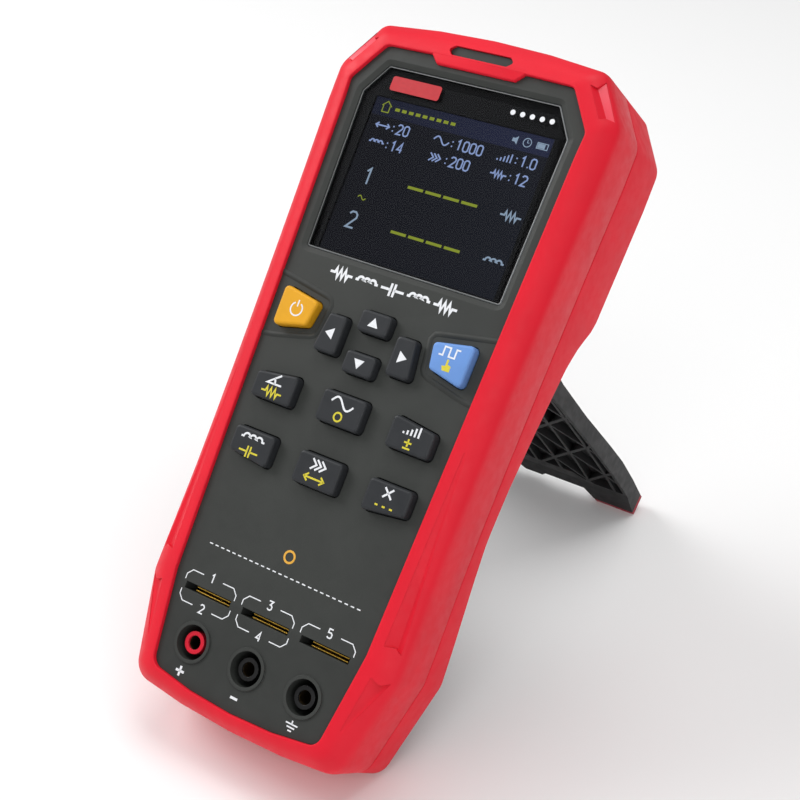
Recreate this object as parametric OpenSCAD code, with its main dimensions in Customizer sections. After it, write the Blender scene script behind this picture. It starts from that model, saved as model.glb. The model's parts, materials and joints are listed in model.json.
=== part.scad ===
// Handheld LCR meter on its tilting stand.
// Every piece is drawn in the face frame: X across the face, Y up the face from the row of
// test jacks, Z out of the face panel. upright() then stands it on the floor.

/* [Body] */
// Top edge above the row of test jacks
top_y = 184.5; // [183:0.5:187]
// Half of the width across the head
head_half = 45; // [44:0.5:46]
// Half of the width at the waist
waist_half = 41.8; // [41.4:0.2:42.6]
// Depth of the head behind the face panel
head_depth = 41; // [40.6:0.2:42]
// Depth of the waist behind the face panel
waist_depth = 27.6; // [27.4:0.1:28]
// Depth of the bottom end behind the face panel
heel_depth = 32.8; // [32.4:0.1:33]
// Depth of the parting line between the front and rear halves
seam_depth = 19; // [18:0.5:20]
// Angle between the face and the floor when it stands
lean = 50.9; // [49:0.1:53]

/* [Shells] */
// Thickness of the soft overmould
skin = 2.2; // [2:0.1:2.4]
// Thickness of the hard case walls
wall = 2; // [1.6:0.1:2.2]
// Thickness of the face panel
panel = 2.6; // [2.4:0.1:2.8]
// Height of the red bezel above the face panel
bezel = 1.2; // [0.8:0.1:1.6]
// Gap between fixed pieces that lie on each other
fit = 0.05; // [0.03:0.01:0.1]

/* [Keys] */
// Height of the keys above the face panel
key_height = 3; // [2:0.1:3.5]
// Travel of a key when it is pressed
key_travel = 1; // [0.5:0.1:1]
// Gap round a key in its opening
key_gap = 0.3; // [0.2:0.05:0.4]

/* [Test inputs] */
// Distance between neighbouring test jacks
jack_pitch = 19; // [19:0.05:19.1]
// Radius of the bore that takes a 4 mm plug
plug_r = 2; // [2:0.01:2.05]
// Radius of the well round each jack
well_r = 4.85; // [4.6:0.05:5]
// Depth of the jack wells
well_depth = 14; // [13.5:0.25:14]
// Height of the component slots above the jacks
slot_y = 13.75; // [13:0.25:14]
// Length of a component slot
slot_len = 15.9; // [15:0.1:16.5]
// Width of a component slot
slot_w = 2; // [1.8:0.1:2.2]

/* [Stand] */
// Stand hinge above the row of test jacks
hinge_y = 103.8; // [103.6:0.1:104]
// Stand hinge behind the face panel
hinge_depth = 33.5; // [33.4:0.1:33.7]
// Length of the stand from its hinge to the floor
stand_len = 116; // [115:0.2:116.6]
// Half of the stand's width at the feet
foot_half = 38.2; // [37:0.2:38.6]
// Half of the stand's width at the hinge
shoulder_half = 35; // [34:0.5:35.5]
// Radius of the stub pins
pin_r = 2; // [1.8:0.05:2.2]
// Running clearance round the stub pins
pin_gap = 0.05; // [0.02:0.01:0.1]

/* [Hidden] */
eps = 0.01;
$fn = 48;

// Outlines. A set lists what shapes one outline of the right half, from the top centre down to
// the bottom centre: top, shoulder, temple, head, waist, jaw, chin, bottom, four corner radii,
// and how fast the flank flares away from the waist.
outer = [[0, top_y], [35.5, top_y - 2.1], [head_half - 0.1, top_y - 16], [head_half, 160],
         [waist_half, 45], [42.1, 13.5], [35.2, -15.8], [0, -18], [4, 7, 9, 6.5], [1.5, 0]];
face = [[0, 175.6], [29.7, 175.2], [37.6, 163.8], [37.2, 160],
        [32.5, 20], [32.4, 17], [28.3, -10], [0, -12.6], [2.5, 3, 20, 4], [1, 0]];
heel_y = -16.9;
heel_crown = 0.06;
tail = [outer[0], outer[1], outer[2], outer[3], outer[4], outer[5],
        [34.6, heel_y + heel_crown], [0, heel_y], outer[8], outer[9]];
flank_ys = [160, 140, 121, 114, 107, 95, 85, 70, 55, 47, 32, 23];

// Depth of the back behind the face panel, from the bottom end to the top end
back_profile = [[-20, heel_depth], [14, heel_depth], [32, heel_depth - 2.1],
                [55, waist_depth], [70, waist_depth + 0.7], [85, waist_depth + 2.6],
                [95, waist_depth + 4], [107, waist_depth + 5.8], [114, head_depth - 5],
                [121, head_depth - 0.2], [140, head_depth], [185, head_depth]];
function back_depth(y) = lookup(y, back_profile);

function unit(v) = v / norm(v);
function mix(a, b, t) = a * (1 - t) + b * t;
function inward(a, b) = let (d = unit(b - a)) [d[1], -d[0]];

// Corner b of the clockwise chain a, b, c, moved inward by d
function inset_corner(a, b, c, d) =
    let (n1 = inward(a, b), n2 = inward(b, c)) b + (n1 + n2) * d / (1 + n1 * n2);

// Arc of radius r, in n steps, that softens corner b of the chain a, b, c
function corner_arc(a, b, c, r, n) =
    let (u = unit(a - b), v = unit(c - b), half = acos(u * v) / 2,
         d = min(r / tan(half), 0.49 * min(norm(a - b), norm(c - b))),
         centre = b + unit(u + v) * d / cos(half),
         p = b + u * d - centre, q = b + v * d - centre, sweep = 180 - 2 * half)
    [for (i = [0 : n]) let (t = i / n)
        centre + (p * sin((1 - t) * sweep) + q * sin(t * sweep)) / sin(sweep)];

function inset_set(s, d) =
    [s[0] - [0, d], inset_corner(s[0], s[1], s[2], d), inset_corner(s[1], s[2], s[3], d),
     s[3] - [d, 0], s[4] - [d, 0], inset_corner([s[4][0], s[5][1] + 9], s[5], s[6], d),
     inset_corner(s[5], s[6], s[7], d), s[7] + [0, d],
     [for (r = s[8]) max(r - d, 0.8)], s[9]];

function flank_x(s, y) =
    s[4][0] + (s[3][0] - s[4][0]) * pow(abs(y - s[4][1]) / (s[3][1] - s[4][1]), s[9][0]);
function half_outline(s) =
    let (flank = [for (y = flank_ys) [flank_x(s, y), y]], last = flank[len(flank) - 1],
         bow = s[0][1] - s[1][1], sag = s[6][1] - s[7][1])
    concat([s[0], [s[1][0] / 2, s[0][1] - bow / 4]],
           corner_arc(s[0], s[1], s[2], s[8][0], 3),
           corner_arc(s[1], s[2], flank[0], s[8][1], 4),
           flank,
           corner_arc(last, s[5], s[6], s[8][2], 3),
           corner_arc(s[5], s[6], s[7], s[8][3], 5),
           [[s[6][0] / 2, s[7][1] + sag / 4], s[7]]);
function outline(s) =
    let (h = half_outline(s), n = len(h))
    concat(h, [for (i = [n - 2 : -1 : 1]) [-h[i][0], h[i][1]]]);

// Rings at a fixed height, or at a distance in front of the back surface
function ring_at(s, z) = [for (p = outline(s)) [p[0], p[1], z]];
function ring_back(s, off) = [for (p = outline(s)) [p[0], p[1], off - back_depth(p[1])]];

// Facets between neighbouring rings. A frame splits them the other way from a cup, so that it
// lies flush on the cup it wraps.
function wall_faces(n, k, closed) =
    [for (i = [0 : closed ? k - 1 : k - 2]) let (a = i * n, b = ((i + 1) % k) * n)
        for (j = [0 : n - 1]) let (m = (j + 1) % n)
            each closed ? [[a + j, b + j, a + m], [b + j, b + m, a + m]]
                        : [[a + j, b + j, b + m], [a + j, b + m, a + m]]];
function cap_faces(n, base, up) =
    let (h = n / 2)
    [for (i = [0 : h - 1])
        let (a = base + i, b = a + 1, l = base + (n - i) % n, m = base + n - i - 1)
        each concat(i + 1 == h ? [] : [up ? [a, b, m] : [a, m, b]],
                    i == 0 ? [] : [up ? [a, m, l] : [a, l, m]])];

// Solid between rings that close on themselves, like a picture frame
module frame_loft(rings) {
    n = len(rings[0]);
    polyhedron([for (r = rings) each r], wall_faces(n, len(rings), true), convexity = 8);
}

// Solid between rings with its first and last ring filled in
module cup_loft(rings) {
    n = len(rings[0]);
    k = len(rings);
    polyhedron([for (r = rings) each r],
               concat(cap_faces(n, 0, true), wall_faces(n, k, false),
                      cap_faces(n, (k - 1) * n, false)), convexity = 8);
}

// Closed chain of points with every corner rounded, moved inward by d; clockwise
function soft_outline(p, r, d = 0, n = 4) =
    let (k = len(p), q = [for (i = [0 : k - 1])
        inset_corner(p[(i + k - 1) % k], p[i], p[(i + 1) % k], d)])
    [for (i = [0 : k - 1])
        each corner_arc(q[(i + k - 1) % k], q[i], q[(i + 1) % k], max(r - d, 0.15), n)];

module soft_prism(p, r, d, z0, z1)
    translate([0, 0, z0])
        linear_extrude(z1 - z0)
            polygon(soft_outline(p, r, d));

// Prism whose outline is inset by rows[i][0] at height rows[i][1]; rows run downward
module soft_cap(p, r, rows) {
    rings = [for (w = rows) [for (q = soft_outline(p, r, w[0])) [q[0], q[1], w[1]]]];
    n = len(rings[0]);
    k = len(rings);
    polyhedron([for (g = rings) each g],
               concat([[for (i = [0 : n - 1]) i]], wall_faces(n, k, false),
                      [[for (i = [n - 1 : -1 : 0]) (k - 1) * n + i]]), convexity = 4);
}

function mirrored(p) = [for (i = [len(p) - 1 : -1 : 0]) [-p[i][0], p[i][1]]];
function box_points(x0, x1, y0, y1) = [[x0, y1], [x1, y1], [x1, y0], [x0, y0]];

// Block across the width whose side view is the polygon p of [height up the face, depth axis]
module across(x0, x1, p)
    translate([x0, 0, 0])
        rotate([90, 0, 90])
            linear_extrude(x1 - x0)
                polygon(p);

// Side-view line that stays off in front of the back surface, between two heights
function back_line(y0, y1, off) =
    [for (y = concat([y0], [for (w = back_profile) if (w[0] > y0 && w[0] < y1) w[0]], [y1]))
        [y, off - back_depth(y)]];
function reversed(p) = [for (i = [len(p) - 1 : -1 : 0]) p[i]];
function back_slab(y0, y1, off0, off1) =
    concat(back_line(y0, y1, off0), reversed(back_line(y0, y1, off1)));

module tube(r_out, r_in, z0, z1)
    translate([0, 0, z0])
        difference() {
            cylinder(r = r_out, h = z1 - z0);
            translate([0, 0, -1])
                cylinder(r = r_in, h = z1 - z0 + 2);
        }

module at_points(p)
    for (q = p)
        translate([q[0], q[1], 0])
            children();

function both_sides(p) = concat(p, [for (q = p) [-q[0], q[1]]]);

// Standing pose. The heel chamfer and the feet of the stand touch the floor.
heel_chamfer = 2.4;
heel_drop = heel_chamfer * tan(lean);
heel_level = heel_y * sin(lean) - (heel_depth - heel_drop) * cos(lean);
hinge_level = hinge_y * sin(lean) - hinge_depth * cos(lean);
hinge_reach = hinge_y * cos(lean) + hinge_depth * sin(lean);
stand_in = 1.2;
stand_out = 5.8;
foot_lag = atan(stand_in / stand_len);
stand_slope = asin((hinge_level - heel_level) / norm([stand_len, stand_in])) - foot_lag;
open_angle = 180 - lean - stand_slope;
back_reach = hinge_reach + stand_len * cos(stand_slope) + stand_out * sin(stand_slope);
bezel_rows = [[0, bezel - 0.4], [0.07, bezel], [0.5, 0.2], [0.84, -2], [0.96, -3.6], [1, -6]];
front_reach = min([for (w = bezel_rows)
    mix(face[7][1], outer[7][1], w[0]) * cos(lean) - w[1] * sin(lean)]);

// Share of the way out to the rim where the overmould steps down over the hard case
step_mix = 0.42;

module upright()
    translate([0, -(front_reach + back_reach) / 2, -heel_level])
        rotate([lean, 0, 0])
            children();

// Face layout
lens_points = [[-27.3, 170], [27.3, 170], [33, 161.4],
               [31.6, 114.3], [-31.6, 114.3], [-33, 161.4]];
sight_points = [[-27, 167], [27, 167], [29.4, 163.2],
                [29.4, 115], [-29.4, 115], [-29.4, 163.2]];
lens_sink = 0.7;
lens_thick = 1;
gasket_thick = 0.3;
ledge_z = -lens_sink - lens_thick - gasket_thick;
tab_points = [[-15.6, 176.2], [15.6, 176.2], [12.4, 173], [-12.4, 173]];
tab_hole = [[-8.7, 179.3], [8.7, 179.3], [10.3, 177.8],
            [8.7, 176.3], [-8.7, 176.3], [-10.3, 177.8]];
head_groove = [[35.4, 176.6], [36.5, 179.2], [42.9, 169.3],
               [40.7, 169.3], [39.4, 168.4], [33.6, 176.9]];
flank_groove = [[37.9, 75], [38.2, 75], [40.4, 20.4], [38.8, 21.8], [36, 21.1], [37.6, 75]];
jaw_groove = [[38.2, 11.3], [40.4, 12.7], [33.5, -3.4], [33.2, -3.3], [32.9, -3.2], [35.7, 12.4]];
display_half = 34.6;
display_low = 113.5;
display_high = 163.5;
display_thick = 2.2;
display_top = -panel - fit;
frame_wall = 0.6;
ribbon_half = 10;
ribbon_thick = 0.3;

// Key outlines, right-hand side and centre; left-hand keys mirror them
wide_upper = [[15.8, 78.6], [29.4, 76.8], [29.4, 69.5], [15.8, 69.5]];
wide_lower = [[15.8, 60.8], [29.4, 60.8], [29.4, 53.4], [15.8, 51.7]];
centre_upper = box_points(-7.1, 7.1, 69.5, 78.6);
centre_lower = box_points(-7.1, 7.1, 51.7, 60.8);
corner_key = [[18.8, 99.8], [31.1, 102], [30.9, 90], [20.1, 92.5]];
side_key = [[8.2, 98.4], [14.3, 98.4], [15.9, 87.2], [8.2, 87.2]];
up_points = box_points(-4.9, 4.9, 96, 102.3);
down_points = box_points(-4.9, 4.9, 84.2, 90.5);
key_outlines = [mirrored(corner_key), corner_key, up_points, down_points, mirrored(side_key),
                side_key, mirrored(wide_upper), centre_upper, wide_upper,
                mirrored(wide_lower), centre_lower, wide_lower];
key_round = 1.3;
flange_top = -panel - 0.2;
flange_low = flange_top - 1;
pad_top = flange_low - key_travel - 0.05;
mat_top = pad_top - 0.8;
mat_low = mat_top - 1.2;
board_top = mat_low - fit;
board_thick = 1.6;
board_low = board_top - board_thick;
usb_z = board_low - 1.6;
board_points = [[-10, 178], [10, 178], [10, 171.5], [24, 171.5], [33, 157], [33, 25],
                [-33, 25], [-33, 157], [-24, 171.5], [-10, 171.5]];

// Test input layout
jack_xs = [-jack_pitch, 0, jack_pitch];
slot_xs = [-20, 0, 20];
input_top = -well_depth - 2.6;
input_low = input_top - board_thick;
tube_top = -1;
tube_r = 3.15;
socket_r = 2.5;
socket_top = tube_top - 0.8 - fit;
socket_low = input_top + fit;
leaf_from = -4.5;
leaf_width = 11.8;
leaf_thick = 0.3;
leaf_gap = 0.5;

// Fastener places
board_screw_spots = both_sides([[31, 108.8], [22, 168], [27.5, 28.5]]);
case_screw_spots = both_sides([[31, 168], [28.6, -1]]);
door_screw_spots = both_sides([[19, 33]]);
jack_spots = [for (x = jack_xs) [x, 0]];
door_low = 28;
door_high = 90;
door_half = 24;

// Battery bay and screw wells of the rear case
bay_top = 11;
bay_wall = 1.4;
door_thick = 1.9;
door_seat = back_depth(33) - 1.1;
battery_low = -23.5;
battery_high = -13;
screw_well = 7;
function bay_side(g, z0) =
    concat([[door_low - g, z0]], back_line(door_low - g, door_high + g, 1),
           [[door_high + g, z0]]);

// Stand hinge
barrel_r = 5.6;
barrel_half = 29.5;
cheek_in = 30;
cheek_out = 34.4;
pocket_half = 35.6;
pocket_low = 95.3;
pocket_high = 111.8;
pocket_floor = hinge_depth - barrel_r - 0.6;
cheek_r = 4.6;

// Stand outline, its lattice, and its side view from the hinge to the tip
tip = stand_len - 2;
foot_in = 23.3;
notch = 5.5;
inner_face = [[8, -stand_in], [28, -0.4], [57, 0.6], [85, 1.1], [103, 0.8], [tip, -stand_in]];
outer_face = [[tip, stand_out], [101.5, 6.7], [85.5, 7.2], [69.5, 6.6], [42.5, 5.2],
              [17.5, 4.7], [0, barrel_r]];
rib = 1.1;
cell_x = 9.6;
cell_y = 26.4;
crossing = [23.7, 47.6];
stand_rim = 1.2;
recess_end = 102;

module case_screw_cut(r, z0, z1)
    at_points(case_screw_spots)
        translate([0, 0, z0])
            cylinder(r = r, h = z1 - z0);

module key_openings()
    for (p = key_outlines)
        soft_prism(p, key_round, -key_gap, -panel - 1, 1);

module slot_cut(grow, z0, z1)
    for (x = slot_xs)
        translate([x - slot_len / 2 - grow, slot_y - slot_w / 2 - grow, z0])
            cube([slot_len + 2 * grow, slot_w + 2 * grow, z1 - z0]);

// Opening of the USB port in the top end
module usb_cut(w, h, y0)
    translate([-w / 2, y0, usb_z - h / 2])
        cube([w, 12, h]);

module lens_recess() {
    rows = [[-2.4, 0.5], [-1.6, 0], [-0.1, -lens_sink], [-0.1, ledge_z]];
    soft_cap(lens_points, 1, rows);
    soft_prism(sight_points, 1, 0, -panel - 1, ledge_z + eps);
}

module front_case() color([0.25, 0.25, 0.24]) upright() {
    difference() {
        union() {
            cup_loft([ring_at(inset_set(face, fit), 0),
                      ring_at(inset_set(face, fit), -0.9 - fit),
                      ring_at(mix(face, outer, 0.2), -0.9 - fit),
                      ring_at(mix(face, outer, step_mix), -2.1),
                      ring_at(inset_set(outer, skin + 0.9), -4.8),
                      ring_at(inset_set(outer, skin + fit), -6.4),
                      ring_at(inset_set(outer, skin + fit), -seam_depth),
                      ring_at(inset_set(outer, skin + wall), -seam_depth),
                      ring_at(inset_set(outer, skin + wall), -7.4),
                      ring_at(inset_set(outer, skin + wall + 1), -6.2),
                      ring_at(mix(face, outer, 0.35), -panel - 1.2),
                      ring_at(face, -panel)]);
            soft_prism(tab_hole, 0.6, 0.1, -2, -0.2);
            at_points(jack_spots)
                translate([0, 0, -well_depth])
                    cylinder(r = well_r + 1.5, h = well_depth - 1);
            at_points(jack_spots)
                translate([0, 0, -1])
                    cylinder(r = well_r + 0.95, h = 1.4);
            slot_cut(1.2, -6, -1);
            at_points(board_screw_spots)
                translate([0, 0, board_top + fit])
                    cylinder(r = 2.5, h = -board_top - fit - 1.5);
            at_points(case_screw_spots)
                translate([0, 0, -seam_depth])
                    cylinder(r = 2.9, h = seam_depth - 1.5);
        }
        soft_prism(tab_points, 0.5, -fit, -0.9 - fit, 1);
        lens_recess();
        key_openings();
        at_points(jack_spots)
            translate([0, 0, -well_depth - 1])
                cylinder(r = well_r, h = well_depth + 3);
        slot_cut(0, -7, 1);
        at_points(board_screw_spots)
            translate([0, 0, board_top - 1])
                cylinder(r = 1.05, h = 5.4);
        case_screw_cut(1.35, -seam_depth - 1, -6);
        usb_cut(9.4, 4.4, 176);
    }
}

module front_overmould() color([0.9, 0.2, 0.25]) upright() {
    difference() {
        union() {
            frame_loft(concat([ring_at(face, -0.9)],
                              [for (w = bezel_rows) ring_at(mix(face, outer, w[0]), w[1])],
                              [ring_at(outer, 0.15 - seam_depth),
                               ring_at(inset_set(outer, skin), 0.15 - seam_depth),
                               ring_at(inset_set(outer, skin), -6.4 + fit),
                               ring_at(inset_set(outer, skin + 0.9), -4.8 + fit),
                               ring_at(mix(face, outer, step_mix), -2.1 + fit),
                               ring_at(mix(face, outer, 0.2), -0.9)]));
            soft_prism(tab_points, 0.5, 0, -0.9, bezel - 0.2);
        }
        soft_prism(tab_hole, 0.6, 0, -3, 3);
        usb_cut(10.6, 5.6, 178);
        bezel_grooves();
    }
}

// Height of the bezel at a point of its flank, or between edge i of its inner and outer outlines
function bezel_height(t) = lookup(t, bezel_rows);
function flank_height(p) =
    bezel_height((p[0] - flank_x(face, p[1])) / (flank_x(outer, p[1]) - flank_x(face, p[1])));
function from_line(p, a, b) = (p - a) * inward(b, a);
function edge_height(p, i) =
    let (d = from_line(p, face[i], face[i + 1]), e = -from_line(p, outer[i], outer[i + 1]))
    bezel_height(d / (d + e));

// Wedge that sinks a groove into the bezel: outline p, height z and depth at each point. The
// first and fourth points are the ends of its valley.
module groove_cut(p, z, depth) {
    n = len(p);
    polyhedron([for (i = [0 : n - 1]) [p[i][0], p[i][1], z[i] + 2],
                for (i = [0 : n - 1]) [p[i][0], p[i][1], z[i] - depth[i]]],
               concat([for (i = [1 : n - 2]) [0, i, i + 1]],
                      [for (i = [1 : n - 2]) [n, n + i + 1, n + i]],
                      wall_faces(n, 2, false)));
}

module bezel_grooves()
    for (m = [0, 1])
        mirror([m, 0, 0]) {
            groove_cut(head_groove, [for (q = head_groove) edge_height(q, 1)],
                       [0.9, 0.05, 0.05, 0.9, 0, 0]);
            groove_cut(flank_groove, [for (q = flank_groove) flank_height(q)],
                       [0, 0, 0, 1.1, 0, 0]);
            groove_cut(jaw_groove, [for (q = jaw_groove) edge_height(q, 5)],
                       [1.1, 0, 0, 0, 0, 0]);
        }

module hinge_pocket()
    across(-pocket_half, pocket_half, [[pocket_low, -pocket_floor], [pocket_high, -pocket_floor],
                                       [pocket_high, -60], [pocket_low, -60]]);

// Walls round the hinge pocket, starting at a distance in front of the back surface
module hinge_housing(half, off) {
    low = pocket_low - 1.8;
    high = pocket_high + 1.8;
    across(-half, half, concat(back_line(low, high, off), [[high, 1.8 - pocket_floor],
                                                          [low, 1.8 - pocket_floor]]));
}

module rear_overmould() color([0.85, 0.22, 0.28]) upright() {
    difference() {
        frame_loft([ring_at(outer, -0.15 - seam_depth),
                    ring_back(tail, heel_drop),
                    ring_back(inset_set(tail, heel_chamfer), 0),
                    ring_back(inset_set(tail, 6), 0),
                    ring_back(inset_set(tail, 6), 1.8),
                    ring_back(inset_set(tail, skin + 1), 2.2),
                    ring_back(inset_set(tail, skin), heel_drop + 0.4),
                    ring_at(inset_set(outer, skin), -0.15 - seam_depth)]);
        case_screw_cut(3.2, -60, -seam_depth);
    }
}

// The rear shell with its hinge pocket, battery bay and screw posts
module rear_case() color([0.2, 0.2, 0.2]) upright() {
    difference() {
        union() {
            cup_loft([ring_back(inset_set(tail, skin + 3.4), 2.2),
                      ring_back(inset_set(tail, skin + wall), heel_drop + 2.2),
                      ring_at(inset_set(outer, skin + wall), -seam_depth - fit),
                      ring_at(inset_set(outer, skin + fit), -seam_depth - fit),
                      ring_back(inset_set(tail, skin + fit), heel_drop + 0.4 + fit),
                      ring_back(inset_set(tail, skin + 1 + fit), 2.2 + fit),
                      ring_back(inset_set(tail, 6 + fit), 1.8 + fit),
                      ring_back(inset_set(tail, 6 + fit), 0)]);
            hinge_housing(pocket_half, 1);
            hinge_housing(pocket_half + 1.6, 2.4);
            across(-door_half - bay_wall, door_half + bay_wall, bay_side(bay_wall, -bay_top));
            for (q = case_screw_spots)
                translate([q[0], q[1], 2.1 - back_depth(q[1])])
                    cylinder(r = 4.4, h = back_depth(q[1]) - 2.1 - seam_depth - fit);
        }
        hinge_pocket();
        across(bay_wall - door_half, door_half - bay_wall,
               bay_side(-bay_wall, -bay_top - bay_wall));
        across(-door_half, door_half, back_slab(door_low, door_high, -4, door_thick + fit));
        for (q = case_screw_spots)
            translate([q[0], q[1], 0]) {
                translate([0, 0, -60])
                    cylinder(r = 3, h = 60 - back_depth(q[1]) + screw_well);
                translate([0, 0, -60])
                    cylinder(r = 1.6, h = 60);
            }
        usb_cut(9.4, 4.4, 176);
    }
    at_points(door_screw_spots)
        tube(2.9, 1.05, door_thick + 2 * fit - back_depth(36), -bay_top - 1);
    hinge_cheeks();
}

// Ears in the hinge pocket that carry the stub pins of the stand
module hinge_cheeks()
    for (m = [0, 1])
        mirror([m, 0, 0])
            difference() {
                union() {
                    translate([cheek_in, hinge_y - cheek_r, -hinge_depth])
                        cube([cheek_out - cheek_in, 2 * cheek_r,
                              hinge_depth - pocket_floor + 0.5]);
                    translate([cheek_in, hinge_y, -hinge_depth])
                        rotate([0, 90, 0])
                            cylinder(r = cheek_r, h = cheek_out - cheek_in);
                }
                translate([cheek_in - 1, hinge_y, -hinge_depth])
                    rotate([0, 90, 0])
                        cylinder(r = pin_r + pin_gap, h = cheek_out - cheek_in + 2);
            }

module lens_window() color([0.1, 0.1, 0.12, 0.6]) upright()
    soft_prism(lens_points, 1, 0, -lens_sink - lens_thick, -lens_sink);

module lens_gasket() color([0.1, 0.1, 0.1]) upright()
    difference() {
        soft_prism(lens_points, 1, 0.3, ledge_z + 0.02, -lens_sink - lens_thick - 0.02);
        soft_prism(sight_points, 1, -0.4, ledge_z - 1, 0);
    }

module display_panel() color([0.08, 0.09, 0.1]) upright()
    translate([-display_half, display_low, display_top - display_thick])
        cube([2 * display_half, display_high - display_low, display_thick]);

module frame_block(grow, low, high)
    translate([-display_half - grow, display_low - grow, display_top - low])
        cube([2 * (display_half + grow), display_high - display_low + 2 * grow,
              high - display_top + low]);

module display_frame() color([0.7, 0.7, 0.72]) upright()
    difference() {
        frame_block(frame_wall, display_thick + frame_wall, display_top);
        frame_block(fit, display_thick + fit, 0);
        translate([-ribbon_half - 1, display_low - 2, -8])
            cube([2 * ribbon_half + 2, 3, 10]);
    }

// Flexible ribbon from the display's lower edge down to the main board
module display_ribbon() color([0.75, 0.45, 0.15]) upright() {
    top = display_top - display_thick / 2;
    bend = display_low - 3.2;
    foot = board_top + fit;
    across(-ribbon_half, ribbon_half,
           [[display_low - fit, top], [bend, top], [bend, foot], [display_low - 8, foot],
            [display_low - 8, foot + ribbon_thick], [bend - ribbon_thick, foot + ribbon_thick],
            [bend - ribbon_thick, top + ribbon_thick], [display_low - fit, top + ribbon_thick]]);
}

module main_board() color([0.1, 0.4, 0.2]) upright()
    difference() {
        translate([0, 0, board_low])
            linear_extrude(board_thick)
                polygon(board_points);
        at_points(board_screw_spots)
            translate([0, 0, board_low - 1])
                cylinder(r = 1.3, h = 4);
    }

module input_board() color([0.1, 0.4, 0.2]) upright()
    difference() {
        translate([-24, -8.5, input_low])
            cube([48, 29.5, input_top - input_low]);
        at_points(jack_spots)
            translate([0, 0, input_low - 1])
                cylinder(r = 1.2, h = 4);
    }

// Flat cable between the input board and the main board
module board_link() color([0.8, 0.8, 0.78]) upright()
    across(-8, 8, [[17, input_low - fit], [21.8, input_low - fit], [21.8, board_low - 1],
                   [29.4, board_low - 1], [29.4, board_low - fit], [30, board_low - fit],
                   [30, board_low - 1.6], [22.4, board_low - 1.6],
                   [22.4, input_low - fit - 0.6], [17, input_low - fit - 0.6]]);

module shield_can() color([0.75, 0.75, 0.76]) upright()
    difference() {
        translate([-17, 120, board_low - fit - 4])
            cube([34, 30, 4]);
        translate([-16.6, 120.4, board_low - fit - 3.6])
            cube([33.2, 29.2, 5]);
    }

module buzzer() color([0.1, 0.1, 0.1]) upright()
    translate([24.5, 140, 0])
        tube(6, 1, board_low - fit - 5, board_low - fit);

module usb_socket() color([0.75, 0.75, 0.77]) upright()
    difference() {
        translate([-3.9, 173.5, board_low - fit - 3])
            cube([7.8, 8.2, 3]);
        translate([-3.4, 176, board_low - fit - 2.5])
            cube([6.8, 8, 2]);
    }

// Silicone sheet with one raised pad under each key, drawn at the pressed height
module keypad_mat() color([0.55, 0.57, 0.58]) upright() {
    difference() {
        translate([-32.2, 48, mat_low])
            cube([64.4, 57, mat_top - mat_low]);
        for (x = [-1, 1], y = [66, 82])
            translate([x * 12, y, mat_low - 1])
                cylinder(r = 1.2, h = 4);
    }
    for (p = key_outlines)
        soft_prism(p, key_round, 0.8, mat_top - 0.2, pad_top);
}

// Keycap with a softly rounded top and a flange that holds it behind the panel
module keycap(p) {
    soft_cap(p, key_round, [[0.75, key_height], [0.3, key_height - 0.18], [0.06, key_height - 0.6],
                            [0, key_height - 1.2], [0, flange_top - 0.2]]);
    soft_prism(p, key_round, -1.1, flange_low, flange_top);
}

module power_key() color([0.9, 0.68, 0.18]) upright() keycap(key_outlines[0]);
module trigger_key() color([0.45, 0.6, 0.82]) upright() keycap(key_outlines[1]);
module up_key() color([0.19, 0.2, 0.21]) upright() keycap(key_outlines[2]);
module down_key() color([0.19, 0.2, 0.21]) upright() keycap(key_outlines[3]);
module left_key() color([0.19, 0.2, 0.21]) upright() keycap(key_outlines[4]);
module right_key() color([0.19, 0.2, 0.21]) upright() keycap(key_outlines[5]);
module quality_key() color([0.19, 0.2, 0.21]) upright() keycap(key_outlines[6]);
module frequency_key() color([0.19, 0.2, 0.21]) upright() keycap(key_outlines[7]);
module level_key() color([0.19, 0.2, 0.21]) upright() keycap(key_outlines[8]);
module mode_key() color([0.19, 0.2, 0.21]) upright() keycap(key_outlines[9]);
module speed_key() color([0.19, 0.2, 0.21]) upright() keycap(key_outlines[10]);
module clear_key() color([0.19, 0.2, 0.21]) upright() keycap(key_outlines[11]);

// Insulator of a test jack: centre tube with a lip, on a flange that closes the well
module jack_insulator(x) translate([x, 0, 0]) {
    tube(tube_r, socket_r, -well_depth - 0.5, tube_top - 0.8);
    tube(tube_r, plug_r, tube_top - 0.8, tube_top);
    tube(well_r + 1.4, socket_r, input_top + fit, -well_depth - fit);
}
module plus_jack() color([0.8, 0.15, 0.2]) upright() jack_insulator(jack_xs[0]);
module minus_jack() color([0.1, 0.1, 0.1]) upright() jack_insulator(jack_xs[1]);
module guard_jack() color([0.1, 0.1, 0.1]) upright() jack_insulator(jack_xs[2]);

// Plated sockets with the bores for 4 mm plugs and tails through the input board
module jack_sockets() color([0.8, 0.65, 0.3]) upright()
    at_points(jack_spots) {
        tube(socket_r - fit, plug_r, socket_low, socket_top);
        translate([0, 0, socket_low])
            cylinder(r = plug_r + 0.2, h = 0.8);
        translate([0, 0, input_low - 1.2])
            cylinder(r = 1.1, h = socket_low - input_low + 1.3);
    }

// Pairs of spring leaves that grip a component's leads in each slot
module slot_contacts() color([0.85, 0.65, 0.2]) upright()
    for (x = slot_xs, side = [-1, 1])
        translate([x + leaf_from, slot_y + side * leaf_gap - leaf_thick / 2, input_top + fit])
            cube([leaf_width, leaf_thick, -input_top - fit - 0.9]);

module battery_pack() color([0.2, 0.35, 0.6]) upright()
    soft_prism(box_points(-20.5, 20.5, 38, 86), 2, 0, battery_low, battery_high);

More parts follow.
